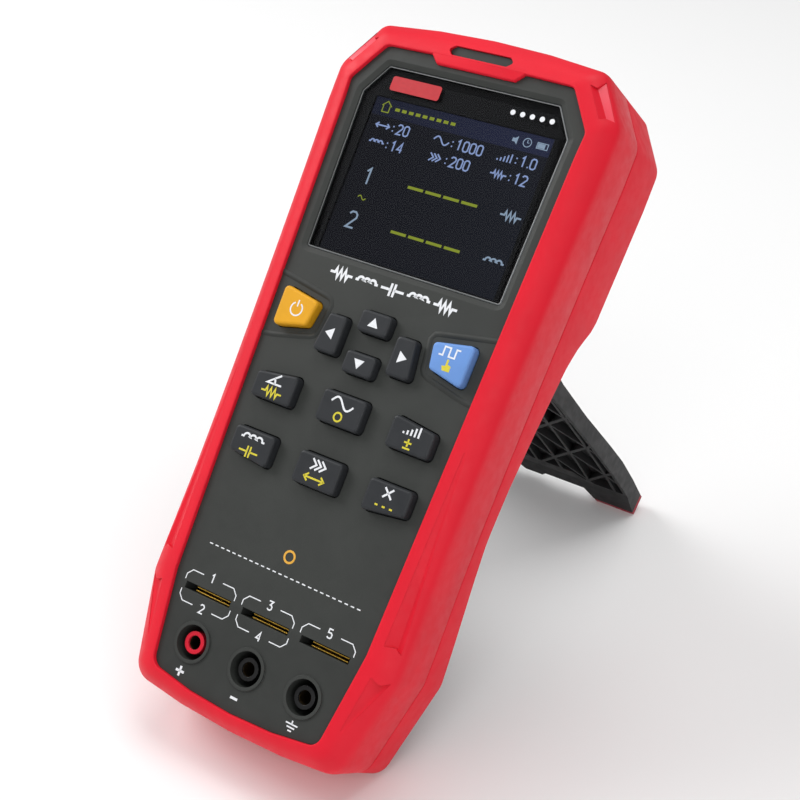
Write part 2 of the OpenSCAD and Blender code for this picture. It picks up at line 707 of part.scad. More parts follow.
module battery_door() color([0.18, 0.18, 0.18]) upright()
    difference() {
        across(0.15 - door_half, door_half - 0.15,
               back_slab(door_low + 0.15, door_high - 0.15, 0.05, door_thick));
        at_points(door_screw_spots) {
            translate([0, 0, -40])
                cylinder(r = 1.25, h = 40);
            translate([0, 0, -40])
                cylinder(r = 2.4, h = 40 - door_seat);
        }
    }

// Screw with a cross recess in its head
module screw(r_head, h_head, r_shank, length)
    difference() {
        union() {
            translate([0, 0, -h_head])
                cylinder(r = r_head, h = h_head);
            cylinder(r = r_shank, h = length);
        }
        for (a = [0, 90])
            rotate([0, 0, a])
                translate([-r_head * 0.6, -0.25, -h_head - 1])
                    cube([r_head * 1.2, 0.5, 1.6]);
    }

module battery_door_screws() color([0.6, 0.6, 0.62]) upright()
    at_points(door_screw_spots)
        translate([0, 0, -door_seat - 0.02])
            screw(2, 0.9, 1, 8);

module case_screws() color([0.6, 0.6, 0.62]) upright()
    for (q = case_screw_spots)
        translate([q[0], q[1], screw_well - back_depth(q[1]) - 0.02])
            screw(2.7, 1.6, 1.3, back_depth(q[1]) - screw_well - 9);

module board_screws() color([0.6, 0.6, 0.62]) upright()
    at_points(board_screw_spots)
        translate([0, 0, board_low - 0.02])
            screw(2.2, 1.1, 1, 5);

// Stand, drawn flat: X across, Y from the hinge to the tip, Z towards the outer face
module stand_pose()
    translate([0, hinge_y, -hinge_depth])
        rotate([180 + open_angle, 0, 0])
            children();

module stand_plan(g)
    polygon([[-barrel_half + g, 0], [-barrel_half + g, 8 + g], [-shoulder_half + g, 8 + g],
             [-foot_half + g, tip - g], [-foot_in - g, tip - g], [-foot_in + 3, tip - notch - g],
             [-5, tip - notch - g], [-3.4, tip - notch + 1.8 - g], [3.4, tip - notch + 1.8 - g],
             [5, tip - notch - g], [foot_in - 3, tip - notch - g], [foot_in + g, tip - g],
             [foot_half - g, tip - g], [shoulder_half - g, 8 + g], [barrel_half - g, 8 + g],
             [barrel_half - g, 0]]);

// Ribs that stiffen the inner side of the stand: lengthwise, and slanted both ways
module lattice_lines() {
    slope = atan(cell_y / 2 / cell_x);
    for (k = [-4 : 4], turn = [-slope, slope])
        translate([crossing[0], crossing[1] + k * cell_y])
            rotate(turn)
                square([220, rib], center = true);
    for (j = [-6 : 1])
        translate([crossing[0] + j * cell_x, stand_len / 2])
            square([rib, stand_len], center = true);
}

// Area of the ribbed recess, above the solid foot of the stand
module recess_plan()
    polygon([[-foot_half, 14], [foot_half, 14], [foot_half, recess_end], [foot_in, recess_end],
             [foot_in - 5, recess_end - 5], [-foot_in + 5, recess_end - 5],
             [-foot_in, recess_end], [-foot_half, recess_end]]);

module tilt_stand() color([0.13, 0.13, 0.13]) upright() stand_pose() {
    difference() {
        intersection() {
            across(-foot_half, foot_half, concat([[0, -barrel_r + 3]], inner_face, outer_face));
            linear_extrude(40, center = true)
                stand_plan(0);
        }
        translate([0, 0, -20])
            linear_extrude(20 + 3.4)
                difference() {
                    intersection() {
                        stand_plan(stand_rim);
                        recess_plan();
                    }
                    lattice_lines();
                }
    }
    translate([-barrel_half, 0, 0])
        rotate([0, 90, 0])
            cylinder(r = barrel_r, h = 2 * barrel_half);
    translate([-cheek_out + 0.2, 0, 0])
        rotate([0, 90, 0])
            cylinder(r = pin_r, h = 2 * (cheek_out - 0.2));
}

module stand_feet() color([0.6, 0.15, 0.2]) upright() stand_pose()
    for (m = [0, 1])
        mirror([m, 0, 0])
            translate([foot_in + 0.3, tip + fit, -stand_in])
                cube([foot_half - foot_in - 0.3, stand_len - tip - fit, stand_in + stand_out]);

front_case();
rear_case();
front_overmould();
rear_overmould();
lens_window();
lens_gasket();
display_panel();
display_frame();
display_ribbon();
main_board();
input_board();
board_link();
shield_can();
buzzer();
usb_socket();
keypad_mat();
power_key();
trigger_key();
up_key();
down_key();
left_key();
right_key();
quality_key();
frequency_key();
level_key();
mode_key();
speed_key();
clear_key();
plus_jack();
minus_jack();
guard_jack();
jack_sockets();
slot_contacts();
battery_pack();
battery_door();
battery_door_screws();
case_screws();
board_screws();
tilt_stand();
stand_feet();
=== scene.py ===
"""Looks of a handheld meter that leans on its tilting stand.

Pieces are drawn in the face frame of the meter, in millimetres: X across the face, Y up the
face from the row of test jacks, Z out of the face panel.
"""
import json
import math

import bpy
from mathutils import Matrix, Quaternion, Vector


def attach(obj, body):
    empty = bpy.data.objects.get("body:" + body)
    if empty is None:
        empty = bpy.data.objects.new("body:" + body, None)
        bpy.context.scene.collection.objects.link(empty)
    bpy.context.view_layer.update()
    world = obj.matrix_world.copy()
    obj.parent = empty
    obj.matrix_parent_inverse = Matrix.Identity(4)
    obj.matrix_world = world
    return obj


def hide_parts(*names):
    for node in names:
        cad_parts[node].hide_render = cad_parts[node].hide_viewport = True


MM = 0.001

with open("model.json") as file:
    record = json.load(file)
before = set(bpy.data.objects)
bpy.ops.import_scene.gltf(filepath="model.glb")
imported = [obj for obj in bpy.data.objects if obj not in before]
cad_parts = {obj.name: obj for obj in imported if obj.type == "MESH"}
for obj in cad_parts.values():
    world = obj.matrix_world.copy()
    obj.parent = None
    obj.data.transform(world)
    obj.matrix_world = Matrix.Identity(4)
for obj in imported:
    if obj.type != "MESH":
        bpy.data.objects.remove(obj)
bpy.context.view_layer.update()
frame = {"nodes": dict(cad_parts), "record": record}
record = frame["record"]

# ---------------------------------------------------------------------------------------------
# The face frame, from the record's mounts
# ---------------------------------------------------------------------------------------------
mounts = {m["name"]: m for m in record["mounts"]}
place = {name: Vector(m["pos_m"]) for name, m in mounts.items()}
OUT = Vector(mounts["minus_socket"]["axis"]).normalized()
RIGHT = (place["guard_socket"] - place["plus_socket"]).normalized()
UP = OUT.cross(RIGHT)
centre = place["minus_socket"]
origin = centre + OUT * (place["minus_slot"] - centre).dot(OUT)
FACE = Matrix((RIGHT, UP, OUT)).transposed().to_4x4()
FACE.translation = origin
TO_FACE = FACE.inverted()


def extent(node):
    """Lowest and highest corner of a CAD node in the face frame, in millimetres."""
    pts = [TO_FACE @ v.co / MM for v in frame["nodes"][node].data.vertices]
    return (Vector(min(p[i] for p in pts) for i in range(3)),
            Vector(max(p[i] for p in pts) for i in range(3)))


BODY = next(iter(record["behaviour"]["bodies"]))
for body, members in record["behaviour"]["bodies"].items():
    if "front_case" in members:
        BODY = body
BODY_OF = {n: b for b, ns in record["behaviour"]["bodies"].items() for n in ns}
SLOT_OF = {row["node"]: row["material_slot"] for row in record["subparts"]}

shell_low, shell_high = extent("front_overmould")
rear_low, rear_high = extent("rear_overmould")
TOP = shell_high.y
HEAD = shell_high.x
SEAM = shell_low.z
REAR_SEAM = rear_high.z
HEAD_DEPTH = -rear_low.z
BEZEL = shell_high.z


# ---------------------------------------------------------------------------------------------
# Materials
# ---------------------------------------------------------------------------------------------
def linear(r, g, b):
    """Linear colour of an 8-bit display colour."""
    def one(c):
        c /= 255
        return c / 12.92 if c <= 0.04045 else ((c + 0.055) / 1.055) ** 2.4
    return (one(r), one(g), one(b), 1.0)


class Graph:
    """Short forms for building a node tree."""

    def __init__(self, name):
        self.mat = bpy.data.materials.new(name)
        self.mat.use_nodes = True
        self.tree = self.mat.node_tree
        self.tree.nodes.clear()
        self.out = self.node("ShaderNodeOutputMaterial")

    def node(self, kind, **inputs):
        made = self.tree.nodes.new(kind)
        for key, value in inputs.items():
            self.put(made, key, value)
        return made

    def put(self, target, key, value):
        socket = target.inputs[int(key[1:]) if key[0] == "_" and key[1:].isdigit() else key]
        if isinstance(value, bpy.types.NodeSocket):
            self.tree.links.new(value, socket)
        else:
            socket.default_value = value

    def noise(self, scale, detail=2.0, rough=0.5):
        coords = self.node("ShaderNodeTexCoord").outputs["Object"]
        made = self.node("ShaderNodeTexNoise", Vector=coords, Scale=scale, Detail=detail,
                         Roughness=rough)
        return made.outputs["Fac"]

    def spread(self, value, low, high, start=0.35, end=0.65):
        made = self.node("ShaderNodeMapRange")
        for key, number in zip(("From Min", "From Max", "To Min", "To Max"),
                               (start, end, low, high)):
            self.put(made, key, number)
        self.put(made, "Value", value)
        return made.outputs["Result"]

    def blend(self, factor, first, second):
        made = self.tree.nodes.new("ShaderNodeMix")
        made.data_type = "RGBA"
        sockets = [s for s in made.inputs if s.enabled]
        for socket, value in zip(sockets, (factor, first, second)):
            if isinstance(value, bpy.types.NodeSocket):
                self.tree.links.new(value, socket)
            else:
                socket.default_value = value
        return next(s for s in made.outputs if s.enabled)


def shade(colour, factor):
    """Colour made darker or lighter by a factor."""
    return tuple(min(1.0, c * factor) for c in colour[:3]) + (1.0,)


def solid_material(name, colour, rough=0.5, metal=0.0, grain=0.0, grain_scale=2500.0,
                   specular=0.4, wear=0.25, soft_edge=0.25, mottle=0.06):
    """Moulded or metal surface with grain, mottled colour, uneven gloss and worn edges."""
    g = Graph(name)
    edge = g.node("ShaderNodeBevel", Radius=soft_edge * MM)
    edge.samples = 4
    normal = edge.outputs["Normal"]
    if grain:
        bump = g.node("ShaderNodeBump", Strength=grain, Distance=0.05 * MM,
                      Height=g.noise(grain_scale, 3.0, 0.6), Normal=normal)
        normal = bump.outputs["Normal"]
    patches = g.noise(70.0, 4.0)
    base = g.blend(g.spread(patches, 0.0, 1.0), shade(colour, 1 - mottle),
                   shade(colour, 1 + mottle))
    if wear:
        point = g.node("ShaderNodeNewGeometry").outputs["Pointiness"]
        worn = g.spread(point, 0.0, wear, 0.52, 0.6)
        base = g.blend(worn, base, shade(colour, 1.6))
    gloss = g.spread(g.noise(350.0, 3.0), max(0.02, rough - 0.05), rough + 0.06)
    shader = g.node("ShaderNodeBsdfPrincipled", Metallic=metal, Roughness=gloss, Normal=normal)
    g.put(shader, "Base Color", base)
    g.put(shader, "Specular IOR Level", specular)
    g.put(g.out, "Surface", shader.outputs["BSDF"])
    return g.mat


def ink_material(name, colour, glow=0.0):
    """Printed ink, or a lit mark on the display when it glows."""
    g = Graph(name)
    fade = g.spread(g.noise(900.0, 2.0), 0.0, 1.0)
    base = g.blend(fade, shade(colour, 0.93), colour)
    shader = g.node("ShaderNodeBsdfPrincipled", Roughness=g.spread(g.noise(500.0), 0.4, 0.55))
    g.put(shader, "Base Color", base if not glow else (0.0, 0.0, 0.0, 1.0))
    if glow:
        g.put(shader, "Emission Color", base)
        g.put(shader, "Emission Strength", glow)
        g.put(shader, "Specular IOR Level", 0.0)
    g.put(g.out, "Surface", shader.outputs["BSDF"])
    return g.mat


def display_material(name, dark, light, glow):
    """Lit liquid-crystal field that brightens a little towards its right."""
    g = Graph(name)
    coords = g.node("ShaderNodeTexCoord").outputs["Object"]
    split = g.node("ShaderNodeSeparateXYZ", Vector=coords)
    ramp = g.spread(split.outputs["X"], 0.0, 1.0, -0.03, 0.035)
    base = g.blend(ramp, dark, light)
    shader = g.node("ShaderNodeBsdfPrincipled", Roughness=g.spread(g.noise(200.0), 0.25, 0.35))
    g.put(shader, "Base Color", (0.004, 0.004, 0.005, 1.0))
    g.put(shader, "Specular IOR Level", 0.0)
    g.put(shader, "Emission Color", base)
    g.put(shader, "Emission Strength", glow)
    g.put(g.out, "Surface", shader.outputs["BSDF"])
    return g.mat


FAINT_IOR = 1.16


def window_material(name):
    """Clear acrylic: transparent, with a faint reflection."""
    g = Graph(name)
    clear = g.node("ShaderNodeBsdfTransparent", Color=(0.93, 0.94, 0.96, 1.0))
    gloss = g.node("ShaderNodeBsdfGlossy", Color=(1, 1, 1, 1),
                   Roughness=g.spread(g.noise(40.0, 2.0), 0.05, 0.07))
    facing = g.node("ShaderNodeFresnel", IOR=FAINT_IOR)
    mix = g.node("ShaderNodeMixShader", Fac=facing.outputs["Fac"])
    g.tree.links.new(clear.outputs["BSDF"], mix.inputs[1])
    g.tree.links.new(gloss.outputs["BSDF"], mix.inputs[2])
    g.put(g.out, "Surface", mix.outputs["Shader"])
    return g.mat


RED = linear(222, 22, 44)
FINISH = {
    "hard_case": solid_material("hard_case_finish", linear(50, 52, 50), 0.5, grain=0.35,
                                specular=0.3, wear=0.3),
    "soft_red": solid_material("soft_red_finish", RED, 0.48, grain=0.22, grain_scale=2200.0,
                               specular=0.25, wear=0.12, mottle=0.03, soft_edge=0.35),
    "window_clear": window_material("window_clear_finish"),
    "gasket_foam": solid_material("gasket_foam_finish", linear(30, 30, 30), 0.9, grain=0.5),
    "display_glass": solid_material("display_glass_finish", linear(14, 14, 17), 0.3),
    "tin_plate": solid_material("tin_plate_finish", linear(190, 190, 192), 0.3, metal=1.0,
                                grain=0.1),
    "amber_film": solid_material("amber_film_finish", linear(190, 120, 50), 0.35),
    "circuit_board": solid_material("circuit_board_finish", linear(20, 100, 55), 0.4, grain=0.1),
    "grey_silicone": solid_material("grey_silicone_finish", linear(140, 143, 146), 0.7),
    "black_part": solid_material("black_part_finish", linear(24, 24, 24), 0.6, grain=0.2),
    "power_amber": solid_material("power_amber_finish", linear(220, 158, 26), 0.42, grain=0.1,
                                  specular=0.3, wear=0.15),
    "trigger_blue": solid_material("trigger_blue_finish", linear(104, 146, 210), 0.42,
                                   grain=0.1, specular=0.3, wear=0.15),
    "key_dark": solid_material("key_dark_finish", linear(42, 44, 47), 0.46, grain=0.18,
                               specular=0.28, wear=0.12),
    "jack_red": solid_material("jack_red_finish", linear(206, 24, 48), 0.3, specular=0.4),
    "jack_black": solid_material("jack_black_finish", linear(20, 20, 21), 0.32, specular=0.4),
    "gold_contact": solid_material("gold_contact_finish", linear(214, 170, 74), 0.28, metal=1.0,
                                   grain=0.08),
    "battery_wrap": solid_material("battery_wrap_finish", linear(50, 84, 150), 0.35),
    "screw_steel": solid_material("screw_steel_finish", linear(170, 170, 172), 0.35, metal=1.0,
                                  grain=0.15),
    "stand_black": solid_material("stand_black_finish", linear(27, 27, 28), 0.55, grain=0.3,
                                  specular=0.3, wear=0.5),
    "foot_red": solid_material("foot_red_finish", linear(150, 36, 50), 0.7, grain=0.3),
}
INK_WHITE = ink_material("ink_white", linear(232, 234, 238))
INK_YELLOW = ink_material("ink_yellow", linear(214, 200, 50))
INK_AMBER = ink_material("ink_amber", linear(226, 168, 60))
LIT_BLUE = ink_material("lit_blue", linear(150, 170, 215), 0.9)
LIT_GREEN = ink_material("lit_green", linear(146, 158, 54), 0.9)
LIT_PALE = ink_material("lit_pale", linear(150, 170, 190), 0.9)
LIT_FIELD = display_material("lit_field", linear(21, 22, 26), linear(28, 30, 36), 1.0)
LIT_BAR = display_material("lit_bar", linear(28, 31, 45), linear(40, 44, 66), 1.0)
MASK_BLACK = solid_material("mask_black", linear(20, 20, 20), 0.5, wear=0.0, specular=0.1)
# Lighter, glossier red for the outer facets of the corner grooves: a painted highlight where the
# facets face the light
FACET_PAINTED_LIGHT_RED = solid_material("facet_painted_light_red", linear(236, 66, 84), 0.32, specular=0.45, wear=0.0,
                           mottle=0.03)
# Dark brown brass for the jack sockets: painted shade deep inside the jack wells
SOCKET_METAL_PAINTED_SHADE = solid_material("socket_metal_painted_shade", linear(96, 80, 58), 0.45, metal=1.0)
# Light grey for the glossy window chamfer: a painted reflection of the lamps
GLOSSY_EDGE_PAINTED_GLINT = solid_material("glossy_edge_painted_glint", linear(150, 152, 152), 0.18, wear=0.0,
                               specular=0.7)

# The jack sockets take the darker brass of painted shade in place of their gold slot finish
PAINTED_SHADE_FINISH = {"jack_sockets": SOCKET_METAL_PAINTED_SHADE}
for node, obj in frame["nodes"].items():
    obj.data.materials.clear()
    obj.data.materials.append(PAINTED_SHADE_FINISH.get(node, FINISH[SLOT_OF[node]]))


# ---------------------------------------------------------------------------------------------
# Mesh helpers
# ---------------------------------------------------------------------------------------------
def add_piece(name, verts, faces, material, body, smooth=None, basis=FACE):
    """Makes a mesh from points in millimetres of a frame, and rides it on a body."""
    mesh = bpy.data.meshes.new(name)
    mesh.from_pydata([basis @ (Vector(p) * MM) for p in verts], [], faces)
    mesh.validate()
    mesh.update()
    mesh.materials.append(material)
    if smooth:
        mesh.shade_smooth()
        mesh.set_sharp_from_angle(angle=math.radians(smooth))
    obj = bpy.data.objects.new(name, mesh)
    bpy.context.scene.collection.objects.link(obj)
    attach(obj, body)
    return obj


def loft(rings, closed=False):
    """Faces between clockwise rings of equally many points, from the top down; the ends are
    capped unless it is closed."""
    n, k = len(rings[0]), len(rings)
    verts = [p for ring in rings for p in ring]
    faces = []
    for i in range(k if closed else k - 1):
        a, b = i * n, ((i + 1) % k) * n
        faces += [(a + j, a + (j + 1) % n, b + (j + 1) % n, b + j) for j in range(n)]
    if not closed:
        faces.append(tuple(range(n))[::-1])
        faces.append(tuple(range((k - 1) * n, k * n)))
    return verts, faces


class Marks:
    """Thin raised prints and symbols, gathered into one mesh."""

    def __init__(self, z, lift=0.05, sink=0.04, centre=(0, 0)):
        self.verts, self.faces = [], []
        self.z, self.lift, self.sink = z, lift, sink
        self.centre = Vector(centre)

    def plate(self, points):
        """Filled flat shape with its edge going down into the surface."""
        pts = [Vector(p) + self.centre for p in points]
        area = sum(a.x * b.y - a.y * b.x for a, b in zip(pts, pts[1:] + pts[:1]))
        if area < 0:
            pts.reverse()
        base, n = len(self.verts), len(pts)
        self.verts += [(p.x, p.y, self.z + self.lift) for p in pts]
        self.verts += [(p.x, p.y, self.z - self.sink) for p in pts]
        self.faces.append(tuple(range(base, base + n)))
        self.faces.append(tuple(range(base + n, base + 2 * n))[::-1])
        for i in range(n):
            m = (i + 1) % n
            self.faces.append((base + m, base + i, base + n + i, base + n + m))

    def stroke(self, points, width, closed=False):
        """Line of a constant width along points."""
        pts = [Vector(p) for p in points]
        n = len(pts)
        left, right = [], []
        for i, p in enumerate(pts):
            before = pts[i - 1] if i or closed else None
            after = pts[(i + 1) % n] if i < n - 1 or closed else None
            d1 = (p - before).normalized() if before is not None else (after - p).normalized()
            d2 = (after - p).normalized() if after is not None else d1
            side = Vector((-(d1.y + d2.y), d1.x + d2.x)).normalized()
            reach = side * (width / 2) / max(0.35, side.dot(Vector((-d1.y, d1.x))))
            left.append(p + reach)
            right.append(p - reach)
        if closed:
            for i in range(n):
                m = (i + 1) % n
                self.plate([left[i], right[i], right[m], left[m]])
        else:
            for i in range(n - 1):
                self.plate([left[i], right[i], right[i + 1], left[i + 1]])

    def arc(self, centre_at, radius, start, end, width, steps=14):
        self.stroke(arc_points(centre_at, radius, start, end, steps), width)

    def build(self, name, material, body):
        add_piece(name, self.verts, self.faces, material, body)


def arc_points(centre_at, radius, start, end, steps=14):
    return [(centre_at[0] + radius * math.cos(math.radians(start + (end - start) * i / steps)),
             centre_at[1] + radius * math.sin(math.radians(start + (end - start) * i / steps)))
            for i in range(steps + 1)]


def moved(points, dx, dy, scale=1.0):
    return [(dx + x * scale, dy + y * scale) for x, y in points]


# Numerals as open strokes in a cell 0.55 wide and 1 high
NUMERALS = {
    "0": [[(0, 0.15), (0, 0.85), (0.15, 1), (0.4, 1), (0.55, 0.85), (0.55, 0.15), (0.4, 0),
           (0.15, 0), (0, 0.15)]],
    "1": [[(0.08, 0.8), (0.3, 1), (0.3, 0)]],
    "2": [[(0, 0.85), (0.15, 1), (0.4, 1), (0.55, 0.85), (0.55, 0.65), (0, 0), (0.55, 0)]],
    "3": [[(0, 1), (0.55, 1), (0.25, 0.58), (0.42, 0.55), (0.55, 0.4), (0.55, 0.15), (0.4, 0),
           (0.15, 0), (0, 0.12)]],
    "4": [[(0.42, 0), (0.42, 1), (0, 0.3), (0.55, 0.3)]],
    "5": [[(0.52, 1), (0.05, 1), (0.03, 0.58), (0.38, 0.6), (0.55, 0.45), (0.55, 0.15),
           (0.4, 0), (0.15, 0), (0, 0.12)]],
}


def numerals(marks, text, x, y, height, width):
    """Draws numerals and points from a left edge and baseline."""
    for c in text:
        if c == ".":
            marks.plate(moved([(0, 0), (0.14, 0), (0.14, 0.14), (0, 0.14)], x, y, height))
            x += height * 0.3
        else:
            for line in NUMERALS[c]:
                marks.stroke(moved(line, x, y, height), width)
            x += height * 0.78


# Symbols drawn in a box about 2 wide and 1 high, round their middle
def wave_symbol(steps=16):
    return [[(-1 + 2 * i / steps, 0.42 * math.sin(2 * math.pi * i / steps))
             for i in range(steps + 1)]]


def coil_symbol(turns=3, steps=8):
    step = 1.6 / turns
    points = [(-1, 0)]
    for t in range(turns):
        points += arc_points((-0.8 + step * (t + 0.5), 0), step / 2, 180, 0, steps)
    return [points + [(1, 0)]]


def resistor_symbol(peaks=3):
    step = 1.2 / (2 * peaks)
    points = [(-1, 0), (-0.6, 0)]
    for i in range(2 * peaks):
        points.append((-0.6 + step * (i + 0.5), 0.35 if i % 2 == 0 else -0.35))
    return [points + [(0.6, 0), (1, 0)]]


def capacitor_symbol():
    return [[(-1, 0), (-0.16, 0)], [(-0.16, -0.5), (-0.16, 0.5)],
            [(0.16, -0.5), (0.16, 0.5)], [(0.16, 0), (1, 0)]]


def bars_symbol():
    return [[(-0.8 + 0.4 * i, -0.5), (-0.8 + 0.4 * i, -0.3 + 0.2 * i)] for i in range(5)]


def chevron_symbol():
    return [[(-0.7 + dx, 0.45), (-0.2 + dx, 0), (-0.7 + dx, -0.45)] for dx in (0, 0.45, 0.9)]


def cross_symbol():
    return [[(-0.45, -0.45), (0.45, 0.45)], [(-0.45, 0.45), (0.45, -0.45)]]


def angle_symbol():
    return [[(0.8, -0.45), (-0.8, -0.45), (0.5, 0.5)],
            arc_points((-0.8, -0.45), 0.85, 0, 36, 5)]


def arrows_symbol():
    return [[(-0.9, 0), (0.9, 0)], [(-0.55, 0.3), (-0.9, 0), (-0.55, -0.3)],
            [(0.55, 0.3), (0.9, 0), (0.55, -0.3)]]


def symbol(marks, lines, x, y, scale, width):
    for line in lines:
        marks.stroke(moved(line, x, y, scale), width)


# ---------------------------------------------------------------------------------------------
# Outlines of the shell, shaped as in the CAD part but finer
# ---------------------------------------------------------------------------------------------
OUTER = dict(points=[(0, TOP), (35.5, TOP - 2.1), (HEAD - 0.1, TOP - 16), (HEAD, 160),
                     (41.8, 45), (42.1, 13.5), (35.2, -15.8), (0, -18)],
             radii=[4, 7, 9, 6.5], flare=1.5)
FACE_EDGE = dict(points=[(0, 175.6), (29.7, 175.2), (37.6, 163.8), (37.2, 160),
                         (32.5, 20), (32.4, 17), (28.3, -10), (0, -12.6)],
                 radii=[2.5, 3, 20, 4], flare=1)
TAIL = dict(OUTER, points=OUTER["points"][:6] + [(34.6, -16.84), (0, -16.9)])
SKIN = 2.2
FLANK_STEPS = 44
ARC_STEPS = 9
EDGE_STEPS = 10


def inward(a, b):
    d = (b - a).normalized()
    return Vector((d.y, -d.x))


def inset_corner(a, b, c, d):
    n1, n2 = inward(a, b), inward(b, c)
    return b + (n1 + n2) * d / (1 + n1.dot(n2))


def inset(shape, d):
    s = [Vector(p) for p in shape["points"]]
    points = [s[0] - Vector((0, d)), inset_corner(s[0], s[1], s[2], d),
              inset_corner(s[1], s[2], s[3], d), s[3] - Vector((d, 0)), s[4] - Vector((d, 0)),
              inset_corner(Vector((s[4].x, s[5].y + 9)), s[5], s[6], d),
              inset_corner(s[5], s[6], s[7], d), s[7] + Vector((0, d))]
    return dict(points=points, radii=[max(r - d, 0.8) for r in shape["radii"]],
                flare=shape["flare"])


def corner_arc(a, b, c, radius, steps):
    u, v = (a - b).normalized(), (c - b).normalized()
    half = math.acos(max(-1, min(1, u.dot(v)))) / 2
    d = min(radius / math.tan(half), 0.49 * min((a - b).length, (c - b).length))
    middle = b + (u + v).normalized() * (d / math.cos(half))
    p, q, sweep = b + u * d - middle, b + v * d - middle, math.pi - 2 * half
    return [middle + (p * math.sin((1 - t) * sweep) + q * math.sin(t * sweep)) / math.sin(sweep)
            for t in (i / steps for i in range(steps + 1))]


def line(a, b, steps):
    return [a.lerp(b, i / steps) for i in range(steps)]


def outline(shape):
    """Points of the whole outline, clockwise from the top centre."""
    s = [Vector(p) for p in shape["points"]]
    power = shape["flare"]
    flank = []
    for i in range(FLANK_STEPS + 1):
        y = s[3].y + (s[5].y + 9.5 - s[3].y) * i / FLANK_STEPS
        rise = abs(y - s[4].y) / (s[3].y - s[4].y)
        flank.append(Vector((s[4].x + (s[3].x - s[4].x) * rise ** power, y)))
    bow, sag = s[0].y - s[1].y, s[6].y - s[7].y
    top_mid = Vector((s[1].x / 2, s[0].y - bow / 4))
    low_mid = Vector((s[6].x / 2, s[7].y + sag / 4))
    shoulder = corner_arc(s[0], s[1], s[2], shape["radii"][0], ARC_STEPS)
    temple = corner_arc(s[1], s[2], flank[0], shape["radii"][1], ARC_STEPS)
    jaw = corner_arc(flank[-1], s[5], s[6], shape["radii"][2], ARC_STEPS)
    chin = corner_arc(s[5], s[6], s[7], shape["radii"][3], ARC_STEPS)
    half = (line(s[0], top_mid, EDGE_STEPS) + line(top_mid, shoulder[0], EDGE_STEPS) + shoulder
            + line(shoulder[-1], temple[0], EDGE_STEPS)[1:] + temple + flank[1:] + jaw
            + line(jaw[-1], chin[0], EDGE_STEPS)[1:] + chin
            + line(chin[-1], low_mid, EDGE_STEPS)[1:] + line(low_mid, s[7], EDGE_STEPS)
            + [s[7]])
    return half + [Vector((-p.x, p.y)) for p in half[-2:0:-1]]


def mix(a, b, t):
    return [p.lerp(q, t) for p, q in zip(a, b)]


def at_height(points, z):
    return [(p.x, p.y, z) for p in points]


BACK_PROFILE = [(-20, 32.8), (14, 32.8), (32, 30.7), (55, 27.6), (70, 28.3), (85, 30.2),
                (95, 31.6), (107, 33.4), (114, HEAD_DEPTH - 5), (121, HEAD_DEPTH - 0.2),
                (140, HEAD_DEPTH), (185, HEAD_DEPTH)]
HEEL_CHAMFER = 2.4
HEEL_DROP = HEEL_CHAMFER * -OUT.y / OUT.z


def lookup(x, table):
    for (x0, y0), (x1, y1) in zip(table, table[1:]):
        if x <= x1:
            return y0 + (y1 - y0) * max(0.0, (x - x0)) / (x1 - x0)
    return table[-1][1]


def back_depth(y):
    return sum(lookup(y + d, BACK_PROFILE) for d in (-1.2, 0, 1.2)) / 3


def on_back(points, off):
    return [(p.x, p.y, off - back_depth(p.y)) for p in points]


def smooth_curve(points, steps):
    """Curve through points in a plane that bends gently and keeps its ends."""
    pts = [Vector(p) for p in points]
    result = []
    for i in range(len(pts) - 1):
        p0, p1, p2, p3 = pts[max(i - 1, 0)], pts[i], pts[i + 1], pts[min(i + 2, len(pts) - 1)]
        for j in range(steps):
            t = j / steps
            m1, m2 = (p2 - p0) / 2, (p3 - p1) / 2
            h = (2 * t ** 3 - 3 * t ** 2 + 1, t ** 3 - 2 * t ** 2 + t,
                 3 * t ** 2 - 2 * t ** 3, t ** 3 - t ** 2)
            result.append(p1 * h[0] + m1 * h[1] + p2 * h[2] + m2 * h[3])
    return result + [pts[-1]]


BEZEL_ROWS = [(0, BEZEL - 0.4), (0.07, BEZEL), (0.5, 0.2), (0.84, -2), (0.96, -3.6), (1, -6)]
bezel_curve = [(p.x, min(p.y, BEZEL)) for p in smooth_curve(BEZEL_ROWS, 4)]
outer_line, face_line = outline(OUTER), outline(FACE_EDGE)
skin_line = outline(inset(OUTER, SKIN))

CREASE = 32


def cut_away(obj, verts, faces, finishes_and_painted_light=(), finish_of=None):
    """Cuts a closed form out of a piece; its faces may bring their own finishes, among them the
    lighter red that paints a highlight on a groove facet.
    """
    mesh = bpy.data.meshes.new("cutter")
    mesh.from_pydata([FACE @ (Vector(p) * MM) for p in verts], [], faces)
    mesh.update()
    for finish_and_painted_light in finishes_and_painted_light:
        mesh.materials.append(finish_and_painted_light)
    if finish_of:
        for i, index in finish_of.items():
            mesh.polygons[i].material_index = index
    cutter = bpy.data.objects.new("cutter", mesh)
    bpy.context.scene.collection.objects.link(cutter)
    modifier = obj.modifiers.new("cut", "BOOLEAN")
    modifier.operation = "DIFFERENCE"
    modifier.object = cutter
    modifier.solver = "EXACT"
    modifier.material_mode = "TRANSFER"
    graph = bpy.context.evaluated_depsgraph_get()
    result = bpy.data.meshes.new_from_object(obj.evaluated_get(graph))
    obj.modifiers.clear()
    obj.data = result
    bpy.data.objects.remove(cutter)
    result.shade_smooth()
    result.set_sharp_from_angle(angle=math.radians(CREASE))


